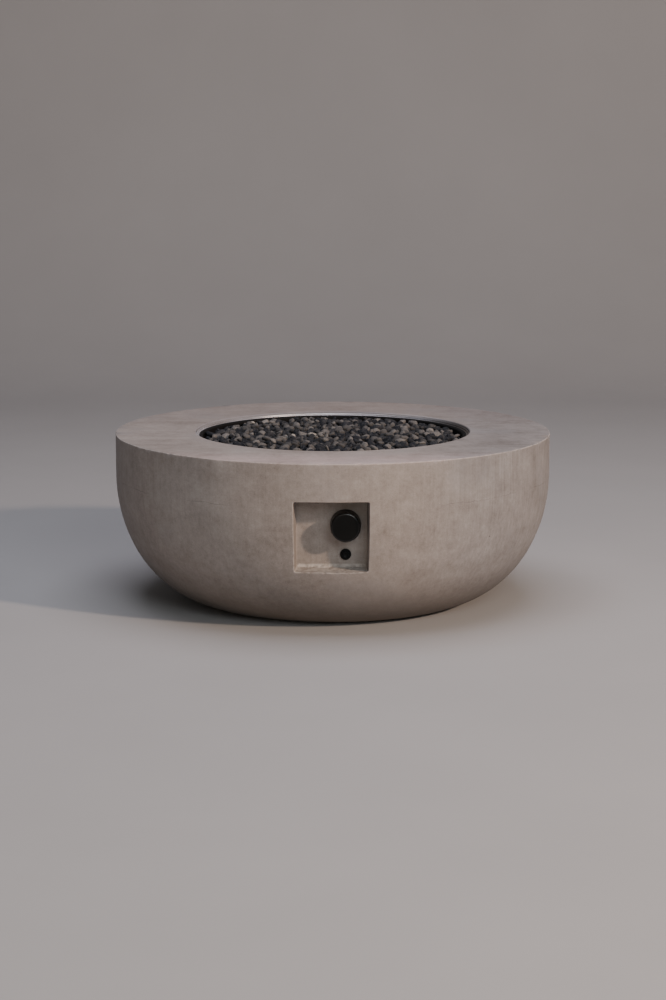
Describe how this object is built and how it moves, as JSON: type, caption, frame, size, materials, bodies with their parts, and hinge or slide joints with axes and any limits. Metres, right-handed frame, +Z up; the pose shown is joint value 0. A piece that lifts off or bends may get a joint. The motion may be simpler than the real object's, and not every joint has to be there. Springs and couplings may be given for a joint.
{
  "type": "fire pit",
  "caption": "Round cast concrete gas fire bowl with a lava rock burner pan, and a square front pocket holding a push-and-turn gas knob and a push-button igniter.",
  "frame": {"origin": "centre of the flat foot, on the ground", "axes": "+Z up along the bowl's axis, -Y towards the control pocket, +X to the right seen from the front"},
  "size_m": [1.067, 1.0669, 0.414],
  "materials": {
    "concrete": "cast, matte",
    "pan_steel": "polished, heat stained",
    "burner_steel": "satin, heat stained",
    "brass": "machined",
    "gas_tube": "drawn",
    "zinc_steel": "zinc plated",
    "copper": "bare copper",
    "knob_black": "satin black",
    "igniter_black": "satin black",
    "boot_rubber": "soft",
    "lead_cover": "silicone cover",
    "ceramic": "fired",
    "cell": "plain sleeve",
    "lava": "porous lava rock"
  },
  "bodies": {
    "bowl": {"bowl_shell": "concrete", "burner_pan": "pan_steel", "burner_ring": "burner_steel", "burner_lock_nut": "brass", "air_mixer": "brass", "gas_orifice": "brass", "elbow_fitting": "brass", "gas_tube": "gas_tube", "tube_nuts": "brass", "valve_body": "brass", "valve_bonnet": "zinc_steel", "valve_screws": "zinc_steel", "valve_bracket": "zinc_steel", "bracket_screws": "zinc_steel", "stem_spring": "zinc_steel", "magnet_unit": "brass", "thermocouple_nut": "brass", "thermocouple_lead": "copper", "thermocouple_tip": "burner_steel", "igniter_barrel": "igniter_black", "igniter_bezel": "igniter_black", "igniter_battery": "cell", "button_spring": "zinc_steel", "igniter_terminals": "zinc_steel", "lead_boots": "boot_rubber", "ignition_lead": "lead_cover", "electrode_insulator": "ceramic", "electrode_rod": "burner_steel", "pilot_bracket": "burner_steel", "pilot_screws": "zinc_steel", "pilot_guard": "burner_steel", "rock_bed": "lava", "lava_rocks": "lava"},
    "push_pin": {"push_pin": "zinc_steel"},
    "knob": {"control_knob": "knob_black", "valve_stem": "zinc_steel"},
    "valve_plug": {"valve_plug": "brass"},
    "igniter_button": {"igniter_button": "igniter_black"}
  },
  "joints": [
    {"name": "knob_push", "type": "slide", "parent": "bowl", "child": "push_pin", "axis": [0, 1, 0], "range_m": [0, 0.004], "stiffness_N_per_m": 1500, "springref_m": -0.001, "deforming": ["stem_spring"]},
    {"name": "knob_turn", "type": "hinge", "parent": "push_pin", "child": "knob", "pos_m": [0.032, -0.4355, 0.263], "axis": [0, -1, 0], "range_deg": [0, 180]},
    {"name": "plug_turn", "type": "hinge", "parent": "bowl", "child": "valve_plug", "pos_m": [0.032, -0.4355, 0.263], "axis": [0, -1, 0], "range_deg": [0, 180]},
    {"name": "igniter_press", "type": "slide", "parent": "bowl", "child": "igniter_button", "axis": [0, 1, 0], "range_m": [0, 0.0035], "stiffness_N_per_m": 900, "springref_m": -0.001, "deforming": ["button_spring"]}
  ],
  "couplings": [
    {"joint": "plug_turn", "follows": "knob_turn", "ratio": 1}
  ]
}
